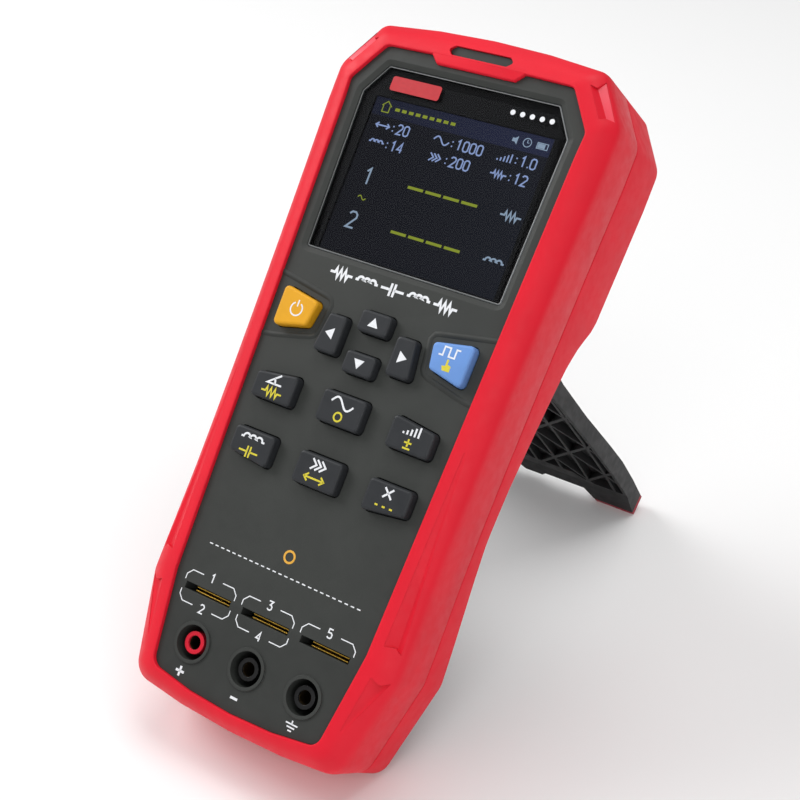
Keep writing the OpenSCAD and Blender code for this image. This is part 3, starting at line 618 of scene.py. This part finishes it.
# ---------------------------------------------------------------------------------------------
# Soft shells
# ---------------------------------------------------------------------------------------------
front_rings = [at_height(face_line, -0.9)]
front_rings += [at_height(mix(face_line, outer_line, t), z) for t, z in bezel_curve]
front_rings += [at_height(outer_line, -12), at_height(outer_line, SEAM + 0.35),
                at_height(outline(inset(OUTER, 0.1)), SEAM + 0.08),
                at_height(outline(inset(OUTER, 0.35)), SEAM),
                at_height(skin_line, SEAM), at_height(skin_line, -6.35),
                at_height(mix(face_line, outer_line, 0.42), -2.05),
                at_height(mix(face_line, outer_line, 0.2), -0.9)]
verts, faces = loft(front_rings, closed=True)
front_shell = add_piece("front_grip_shell", verts, faces, FINISH["soft_red"], BODY,
                        smooth=CREASE)
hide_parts("front_overmould")

rear_rings = [at_height(outer_line, REAR_SEAM - 0.35), on_back(outline(TAIL), HEEL_DROP),
              on_back(outline(inset(TAIL, HEEL_CHAMFER)), 0), on_back(outline(inset(TAIL, 5.7)), 0),
              on_back(outline(inset(TAIL, 6)), 0.3), on_back(outline(inset(TAIL, 6)), 1.8),
              on_back(outline(inset(TAIL, SKIN)), HEEL_DROP + 0.4),
              at_height(skin_line, REAR_SEAM),
              at_height(outline(inset(OUTER, 0.35)), REAR_SEAM),
              at_height(outline(inset(OUTER, 0.1)), REAR_SEAM - 0.08)]
verts, faces = loft(rear_rings, closed=True)
rear_shell = add_piece("rear_grip_shell", verts, faces, FINISH["soft_red"], BODY,
                       smooth=CREASE)
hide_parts("rear_overmould")

# Tab of the top bezel that reaches into the panel, and the hexagonal opening through both
TAB = [(-16.5, 177.1), (16.5, 177.1), (12.4, 173), (-12.4, 173)]
TAB_HOLE = [(-8.7, 179.3), (8.7, 179.3), (10.3, 177.8), (8.7, 176.3), (-8.7, 176.3),
            (-10.3, 177.8)]


def soft_outline(points, radius, d=0.0, steps=5):
    """Closed clockwise chain with rounded corners, moved inward by d."""
    pts = [Vector(p) for p in points]
    k = len(pts)
    moved_in = [inset_corner(pts[i - 1], pts[i], pts[(i + 1) % k], d) for i in range(k)]
    return [q for i in range(k) for q in corner_arc(
        moved_in[i - 1], moved_in[i], moved_in[(i + 1) % k], max(radius - d, 0.12), steps)]


def soft_block(name, points, radius, rows, material, body=BODY):
    """Prism whose outline is inset by the first number of each row at the height of the second."""
    rings = [at_height(soft_outline(points, radius, d), z) for d, z in rows]
    verts, faces = loft(rings)
    return add_piece(name, verts, faces, material, body, smooth=CREASE)


def along(p, start, end):
    """Distance of p outside the line from start to end of a clockwise chain."""
    return -(Vector(p) - Vector(start)).dot(inward(Vector(start), Vector(end)))


def edge_height(p, i):
    """Height of the bezel at p, between the i-th edges of its inner and outer outlines."""
    near = along(p, *FACE_EDGE["points"][i:i + 2])
    far = -along(p, *OUTER["points"][i:i + 2])
    return lookup(near / (near + far), BEZEL_ROWS)


def flank_x(shape, y):
    (head_x, head_y), (waist_x, waist_y) = shape["points"][3:5]
    rise = abs(y - waist_y) / (head_y - waist_y)
    return waist_x + (head_x - waist_x) * rise ** shape["flare"]


def flank_height(p, _):
    near, far = flank_x(FACE_EDGE, p[1]), flank_x(OUTER, p[1])
    return lookup((p[0] - near) / (far - near), BEZEL_ROWS)


def cut_groove(side, points, depths, height, edge, finish_and_painted_light):
    """Sinks a bevelled groove into the bezel; its first and fourth point are its valley. Its outer
    facet takes the given colour, which for the corner groove is a lighter red painted highlight.
    """
    n = len(points)
    surface = [height(p, edge) for p in points]
    verts = [(side * p[0], p[1], z + 2) for p, z in zip(points, surface)]
    verts += [(side * p[0], p[1], z - d) for p, z, d in zip(points, surface, depths)]
    faces = [(0, i + 1, i) for i in range(1, n - 1)]
    faces += [(n, n + i, n + i + 1) for i in range(1, n - 1)]
    faces += [(j, (j + 1) % n, n + (j + 1) % n, n + j) for j in range(n)]
    if side < 0:
        faces = [face[::-1] for face in faces]
    outer_facet = {n - 2: 1, n - 1: 1}
    cut_away(front_shell, verts, faces, (FINISH["soft_red"], finish_and_painted_light), outer_facet)


# Bevelled grooves of the bezel: valley, outer, outer, valley, inner, inner; the corner groove's
# outer facet is a lighter red, a painted highlight
GROOVES = (
    ([(35.4, 176.6), (36.5, 179.2), (42.9, 169.3), (40.7, 169.3), (39.4, 168.4), (33.6, 176.9)],
     [0.95, 0.05, 0.05, 0.95, 0.0, 0.0], edge_height, 1, FACET_PAINTED_LIGHT_RED),
    ([(37.9, 75), (38.2, 75), (40.4, 20.4), (38.8, 21.8), (36, 21.1), (37.6, 75)],
     [0.0, 0.0, 0.0, 1.1, 0.0, 0.0], flank_height, 4, FINISH["soft_red"]),
    ([(38.2, 11.3), (40.4, 12.7), (33.5, -3.4), (33.2, -3.3), (32.9, -3.2), (35.7, 12.4)],
     [1.1, 0.0, 0.0, 0.0, 0.0, 0.0], edge_height, 5, FINISH["soft_red"]),
)
for groove in GROOVES:
    for side in (1, -1):
        cut_groove(side, *groove)

TAB_ROWS = [(0.6, BEZEL - 0.04), (0.25, BEZEL - 0.15), (0.06, 0.75), (0, 0.4), (0, -0.88)]
tab = soft_block("bezel_tab", TAB, 0.6, TAB_ROWS, FINISH["soft_red"])
HOLE_REACH = 3
hole_line = soft_outline(TAB_HOLE, 0.7)
for piece in (front_shell, tab):
    cut_away(piece, *loft([at_height(hole_line, HOLE_REACH), at_height(hole_line, -HOLE_REACH)]))

# ---------------------------------------------------------------------------------------------
# Display, window and prints
# ---------------------------------------------------------------------------------------------
LENS = [(-27.3, 170), (27.3, 170), (33, 161.4), (31.6, 114.3), (-31.6, 114.3), (-33, 161.4)]
lens_low, lens_high = extent("lens_window")
glass_high = extent("display_panel")[1]
FIELD = dict(x=28.7, low=115.3, high=161.2)

FIELD_LIFT, HEADER_LIFT, LIT_LIFT = 0.05, 0.03, 0.03
HEADER_LOW = 156
field = Marks(glass_high.z, FIELD_LIFT, 0.0)
field.plate([(-FIELD["x"], FIELD["low"]), (FIELD["x"], FIELD["low"]),
             (FIELD["x"], FIELD["high"]), (-FIELD["x"], FIELD["high"])])
field.build("display_field", LIT_FIELD, BODY)
header = Marks(glass_high.z + FIELD_LIFT, HEADER_LIFT, 0.0)
header.plate([(-FIELD["x"], HEADER_LOW), (FIELD["x"], HEADER_LOW), (FIELD["x"], FIELD["high"]),
              (-FIELD["x"], FIELD["high"])])
header.build("display_header", LIT_BAR, BODY)

lit_z = glass_high.z + FIELD_LIFT + HEADER_LIFT

# Rows of settings: a sign, a colon and numerals in each of three columns
COLUMNS = (-26.2, -6.6, 13.6)
ROWS = ((153.3, ((arrows_symbol, "20"), (wave_symbol, "1000"), (bars_symbol, "1.0"))),
        (148.3, ((coil_symbol, "14"), (chevron_symbol, "200"), (resistor_symbol, "12"))))
DIGIT_HEIGHT, PEN = 2.8, 0.42
blue = Marks(lit_z, LIT_LIFT, 0.0)
for y, row in ROWS:
    for x, (sign, text) in zip(COLUMNS, row):
        symbol(blue, sign(), x + 2.6, y, 2.5, PEN)
        for dot in (-0.8, 0.5):
            blue.stroke([(x + 6.0, y + dot), (x + 6.4, y + dot)], 0.4)
        numerals(blue, text, x + 7.6, y - DIGIT_HEIGHT / 2, DIGIT_HEIGHT, PEN)
blue.build("display_rows", LIT_BLUE, BODY)

# House and dashes of the header, then the dashes of the two unread values
HEADER_Y = 158.6
VALUE_ROWS = (138.4, 125.2)
DASH, DASH_PITCH, DASH_HALF = 5.0, 5.8, 0.4
green = Marks(lit_z, LIT_LIFT, 0.0)
green.stroke([(-26.2, 159.0), (-24.6, 160.4), (-23.0, 159.0)], 0.3)
green.stroke([(-25.7, 159.1), (-25.7, 157.2), (-23.5, 157.2), (-23.5, 159.1)], 0.3)
for i in range(9):
    green.stroke([(-21.6 + 2.3 * i, HEADER_Y), (-20.1 + 2.3 * i, HEADER_Y)], 0.9)
for y in VALUE_ROWS:
    for i in range(4):
        x = -8.7 + DASH_PITCH * i
        green.plate([(x, y - DASH_HALF), (x + DASH, y - DASH_HALF), (x + DASH, y + DASH_HALF),
                     (x, y + DASH_HALF)])
symbol(green, wave_symbol(), -21.5, 132.0, 1.3, 0.3)
green.build("display_dashes", LIT_GREEN, BODY)

# Row numbers and unit signs, then the speaker, clock and battery of the header
pale = Marks(lit_z, LIT_LIFT, 0.0)
for text, y in (("1", 136.0), ("2", 123.0)):
    numerals(pale, text, -23.2, y, 4.6, 0.55)
for sign, y in ((resistor_symbol, 138.2), (coil_symbol, 125.2)):
    symbol(pale, sign(), 24.2, y, 3.2, 0.5)
SPEAKER = [(16.4, -0.5), (17.2, -0.5), (18.0, -1.2), (18.0, 1.2), (17.2, 0.5), (16.4, 0.5)]
CLOCK_X = 21.0
BATTERY = [(24.0, -0.8), (27.2, -0.8), (27.2, 0.8), (24.0, 0.8)]
CHARGE = [(24.2, -0.6), (26.4, -0.6), (26.4, 0.6), (24.2, 0.6)]
pale.arc((CLOCK_X, HEADER_Y), 1.2, 0, 360, 0.25, 18)
pale.stroke(moved([(0, 0.8), (0, 0), (0.6, 0)], CLOCK_X, HEADER_Y), 0.22)
pale.plate(moved(SPEAKER, 0, HEADER_Y))
pale.stroke(moved(BATTERY, 0, HEADER_Y), 0.25, closed=True)
pale.plate(moved(CHARGE, 0, HEADER_Y))
pale.build("display_icons", LIT_PALE, BODY)

# Dark border printed on the underside of the window
BORDER_EDGE = 0.25
mask = Marks(lens_low.z - 0.02, 0.0, 0.03)
rim = [tuple(p) for p in (inset_corner(Vector(LENS[i - 1]), Vector(LENS[i]),
                                       Vector(LENS[(i + 1) % 6]), BORDER_EDGE)
                          for i in range(6))]
fx, fl, fh = FIELD["x"], FIELD["low"], FIELD["high"]
mask.plate([rim[0], rim[1], rim[2], (fx, fh), (-fx, fh), rim[5]])
mask.plate([rim[2], rim[3], (fx, fl), (fx, fh)])
mask.plate([rim[3], rim[4], (-fx, fl), (fx, fl)])
mask.plate([rim[4], rim[5], (-fx, fh), (-fx, fl)])
mask.build("window_border", MASK_BLACK, BODY)

# Polished chamfer round the window; its light grey colour is a painted reflection
RIM_ROWS = [(0.02, lens_high.z - 0.3), (0.3, lens_high.z + 0.02), (0.42, lens_high.z + 0.02),
            (0.42, lens_high.z - 0.05), (0.1, lens_high.z - 0.4)]
verts, faces = loft([at_height(soft_outline(LENS, 1.0, d), z) for d, z in RIM_ROWS], closed=True)
RIM_CREASE = 30
add_piece("window_rim", verts, faces, GLOSSY_EDGE_PAINTED_GLINT, BODY, smooth=RIM_CREASE)

# Plain badge and dots printed on the window
INK_LIFT, INK_SINK = 0.03, 0.02
BADGE = [(-24.8, 167.4), (-8.6, 167.4), (-8.6, 163.2), (-24.8, 163.2)]
DOT_R, DOT_START, DOT_PITCH, DOT_Y = 0.75, 14.6, 3.0, 165.2
badge = Marks(lens_high.z, INK_LIFT, INK_SINK)
badge.plate(soft_outline(BADGE, 0.8))
badge.build("window_badge", ink_material("ink_red", linear(186, 20, 34)), BODY)
dots = Marks(lens_high.z, INK_LIFT, INK_SINK)
for i in range(5):
    dots.plate(arc_points((DOT_START + DOT_PITCH * i, DOT_Y), DOT_R, 0, 345, 23))
dots.build("window_dots", INK_WHITE, BODY)

# Row of circuit signs under the window
PRINT_LIFT, PRINT_SINK = 0.04, 0.03
prints = Marks(0.0, PRINT_LIFT, PRINT_SINK)
CHAIN_Y, CHAIN_PITCH = 109.5, 8.5
CHAIN = (resistor_symbol, coil_symbol, capacitor_symbol, coil_symbol, resistor_symbol)
for i, sign in enumerate(CHAIN):
    symbol(prints, sign(), CHAIN_PITCH * (i - 2), CHAIN_Y, 3.7, 0.72)

# Numbered brackets round the component slots
SLOT_SPOTS = ((-20, (1, -1)), (0, (1, -1)), (20, (1,)))
SLOT_Y = 13.75
BRACKET_TOP = 4.45
BRACKET = [(-8.7, 1.4), (-8.7, 2.9), (-7.2, BRACKET_TOP), (-3.4, BRACKET_TOP)]
number = 0
for cx, rows in SLOT_SPOTS:
    for sign in rows:
        for side in (1, -1):
            prints.stroke([(cx + side * x, SLOT_Y + sign * y) for x, y in BRACKET], 0.28)
        number += 1
        numerals(prints, str(number), cx - 0.8, SLOT_Y + sign * BRACKET_TOP - 1.2, 2.4, 0.38)

# Plus, minus and earth signs under the jacks, and a dashed line above the slots
SIGN_Y, PLUS_X, EARTH_X = -8.5, -19.5, 18.8
ARM = 1.4
prints.stroke([(PLUS_X - ARM, SIGN_Y), (PLUS_X + ARM, SIGN_Y)], 0.7)
prints.stroke([(PLUS_X, SIGN_Y + ARM), (PLUS_X, SIGN_Y - ARM)], 0.7)
prints.stroke([(-1.6, SIGN_Y), (0.8, SIGN_Y)], 0.7)
for rise, reach in ((0.9, 1.9), (0, 1.25), (-0.9, 0.6)):
    prints.stroke([(EARTH_X - reach, SIGN_Y + rise), (EARTH_X + reach, SIGN_Y + rise)], 0.4)
prints.stroke([(EARTH_X, SIGN_Y + 1.9), (EARTH_X, SIGN_Y + 0.9)], 0.4)
LINE_START, LINE_Y = -25.4, 27.0
for i in range(26):
    x = LINE_START + 2.0 * i
    prints.stroke([(x, LINE_Y), (x + 1.1, LINE_Y)], 0.32)
prints.build("panel_prints", INK_WHITE, BODY)
caution = Marks(0.0, PRINT_LIFT, PRINT_SINK)
caution.arc((0, 32.2), 1.6, 0, 360, 0.6, 24)
caution.build("panel_ring", INK_AMBER, BODY)

# Soft ridges that border the power and trigger keys
RIDGE = [(36.4, 105.4), (31.5, 104.6), (18.9, 102.4), (17.2, 101.9), (16.3, 100.4),
         (17.3, 92.2), (18.0, 90.9), (19.3, 90.2), (30.8, 87.5), (35.0, 87.0)]
RIDGE_HALF, RIDGE_RISE, RIDGE_CREASE = 0.8, 0.24, 60


def sweep_ridge(name, path):
    pts = [Vector(p) for p in path]
    section = [(-1, -0.4), (-1, 0), (-0.5, 0.75), (0, 1), (0.5, 0.75), (1, 0), (1, -0.4)]
    rings = []
    for i, p in enumerate(pts):
        d = (pts[min(i + 1, len(pts) - 1)] - pts[max(i - 1, 0)]).normalized()
        side = Vector((-d.y, d.x))
        rings.append([(p.x + side.x * a * RIDGE_HALF, p.y + side.y * a * RIDGE_HALF,
                       h * RIDGE_RISE) for a, h in section])
    verts, faces = loft(rings)
    add_piece(name, verts, faces, FINISH["hard_case"], BODY, smooth=RIDGE_CREASE)


sweep_ridge("ridge_right", RIDGE)
sweep_ridge("ridge_left", [(-x, y) for x, y in reversed(RIDGE)])


# ---------------------------------------------------------------------------------------------
# Key legends
# ---------------------------------------------------------------------------------------------
def legend(node, name, ink, draw):
    low, high = extent(node)
    marks = Marks(high.z, 0.03, 0.04, ((low.x + high.x) / 2, (low.y + high.y) / 2))
    draw(marks)
    marks.build(name, ink, BODY_OF[node])


def two_row_legend(node, white, yellow):
    stem = node.replace("_key", "")
    legend(node, stem + "_sign", INK_WHITE,
           lambda m: symbol(m, white[0](), white[1], 1.75, white[2], 0.54))
    legend(node, stem + "_second_sign", INK_YELLOW,
           lambda m: symbol(m, yellow[0](), yellow[1], -2.0, yellow[2], 0.5))


def ring_symbol():
    return [arc_points((0, 0), 0.5, 0, 360, 18)]


def plus_minus_symbol():
    return [[(-0.45, 0.12), (0.45, 0.12)], [(0, 0.55), (0, -0.3)], [(-0.45, -0.5), (0.45, -0.5)]]


def dots_symbol():
    return [[(x - 0.12, 0), (x + 0.12, 0)] for x in (-0.6, 0, 0.6)]


def pulse_symbol():
    return [[(-1, -0.4), (-0.6, -0.4), (-0.6, 0.4), (0, 0.4), (0, -0.4), (0.6, -0.4),
             (0.6, 0.4), (1, 0.4)]]


two_row_legend("quality_key", (angle_symbol, 0, 3.0), (resistor_symbol, 0, 3.4))
two_row_legend("frequency_key", (wave_symbol, 0, 3.6), (ring_symbol, 0, 2.4))
two_row_legend("level_key", (bars_symbol, 0, 2.9), (plus_minus_symbol, 0, 2.5))
two_row_legend("mode_key", (coil_symbol, 0, 4.0), (capacitor_symbol, 0, 3.2))
two_row_legend("speed_key", (chevron_symbol, 0, 3.3), (arrows_symbol, 0, 3.6))
two_row_legend("clear_key", (cross_symbol, 0, 3.0), (dots_symbol, 0, 3.8))

ARROW = [(-1.65, -1.2), (1.65, -1.2), (0, 1.45)]
TURN = {"up_key": (1, 0), "down_key": (-1, 0), "left_key": (0, 1), "right_key": (0, -1)}
for node, (c, sn) in TURN.items():
    legend(node, node.replace("_key", "_arrow"), INK_WHITE,
           lambda m: m.plate([(x * c - y * sn, x * sn + y * c) for x, y in ARROW]))


def power_sign(m):
    m.arc((0.3, 0), 1.9, 120, 420, 0.42, 26)
    m.stroke([(0.3, 0.7), (0.3, 2.6)], 0.42)


def hand_sign(m):
    m.plate([(-0.35, 0.3), (0.25, 0.3), (0.25, -1.0), (1.3, -1.3), (1.3, -2.9), (-0.9, -2.9),
             (-1.4, -1.7), (-0.35, -1.5)])


legend("power_key", "power_sign", INK_WHITE, power_sign)
legend("trigger_key", "trigger_sign", INK_WHITE,
       lambda m: symbol(m, pulse_symbol(), -0.4, 2.2, 3.0, 0.45))
legend("trigger_key", "trigger_hand", INK_YELLOW, hand_sign)

# ---------------------------------------------------------------------------------------------
# Camera, light and floor
# ---------------------------------------------------------------------------------------------
AZIMUTH, ELEVATION, ROLL = 33.68, 32.09, 0.53
DISTANCE = 0.4162
TARGET = Vector((0, -0.006, 0.0796))
FOCAL_LENGTH, SENSOR = 65.25, 36
NEAREST = 0.01

scene = bpy.context.scene
scene.view_settings.view_transform = "Standard"
camera_data = bpy.data.cameras.new("camera")
camera_data.sensor_width = SENSOR
camera_data.lens = FOCAL_LENGTH
camera_data.clip_start = NEAREST
camera = bpy.data.objects.new("camera", camera_data)
scene.collection.objects.link(camera)
az, el = math.radians(AZIMUTH), math.radians(ELEVATION)
back = Vector((math.sin(az) * math.cos(el), -math.cos(az) * math.cos(el), math.sin(el)))
camera.location = TARGET + back * DISTANCE
camera.rotation_mode = "QUATERNION"
camera.rotation_quaternion = ((-back).to_track_quat("-Z", "Y")
                              @ Quaternion((0, 0, 1), math.radians(ROLL)))
scene.camera = camera

WHITE = (1, 1, 1, 1)
SKY = 0.38
world = bpy.data.worlds.new("studio")
world.use_nodes = True
world.node_tree.nodes["Background"].inputs["Color"].default_value = WHITE
world.node_tree.nodes["Background"].inputs["Strength"].default_value = SKY
scene.world = world

AIM = Vector((0, 0, 0.08))


def softbox(name, position, size, power):
    """Rectangular lamp that faces the meter, sized in metres, in watts."""
    data = bpy.data.lights.new(name, "AREA")
    data.shape = "RECTANGLE"
    data.size, data.size_y = size
    data.energy = power
    lamp = bpy.data.objects.new(name, data)
    scene.collection.objects.link(lamp)
    lamp.location = position
    lamp.rotation_mode = "QUATERNION"
    lamp.rotation_quaternion = (AIM - Vector(position)).to_track_quat("-Z", "Y")


softbox("key_light", (-1.25, -0.25, 1.1), (0.9, 0.9), 15)
softbox("fill_light", (1.1, -0.9, 0.7), (0.8, 0.8), 4.5)
softbox("front_light", (0.4, -1.15, 1.15), (0.7, 0.7), 3)
softbox("top_light", (0.1, 0.3, 1.6), (1.2, 0.8), 10)

HALF_FLOOR = 4.0
PALE = (0.9, 0.9, 0.9, 1.0)
floor_mesh = bpy.data.meshes.new("floor")
floor_mesh.from_pydata([(x * HALF_FLOOR, y * HALF_FLOOR, 0)
                        for x, y in ((-1, -1), (1, -1), (1, 1), (-1, 1))], [], [(0, 1, 2, 3)])
floor_graph = Graph("floor_finish")
floor_shader = floor_graph.node("ShaderNodeBsdfPrincipled", Roughness=0.9)
floor_graph.put(floor_shader, "Base Color", PALE)
floor_graph.put(floor_shader, "Specular IOR Level", 0.1)
floor_graph.put(floor_graph.out, "Surface", floor_shader.outputs["BSDF"])
floor_mesh.materials.append(floor_graph.mat)
floor = bpy.data.objects.new("floor", floor_mesh)
scene.collection.objects.link(floor)
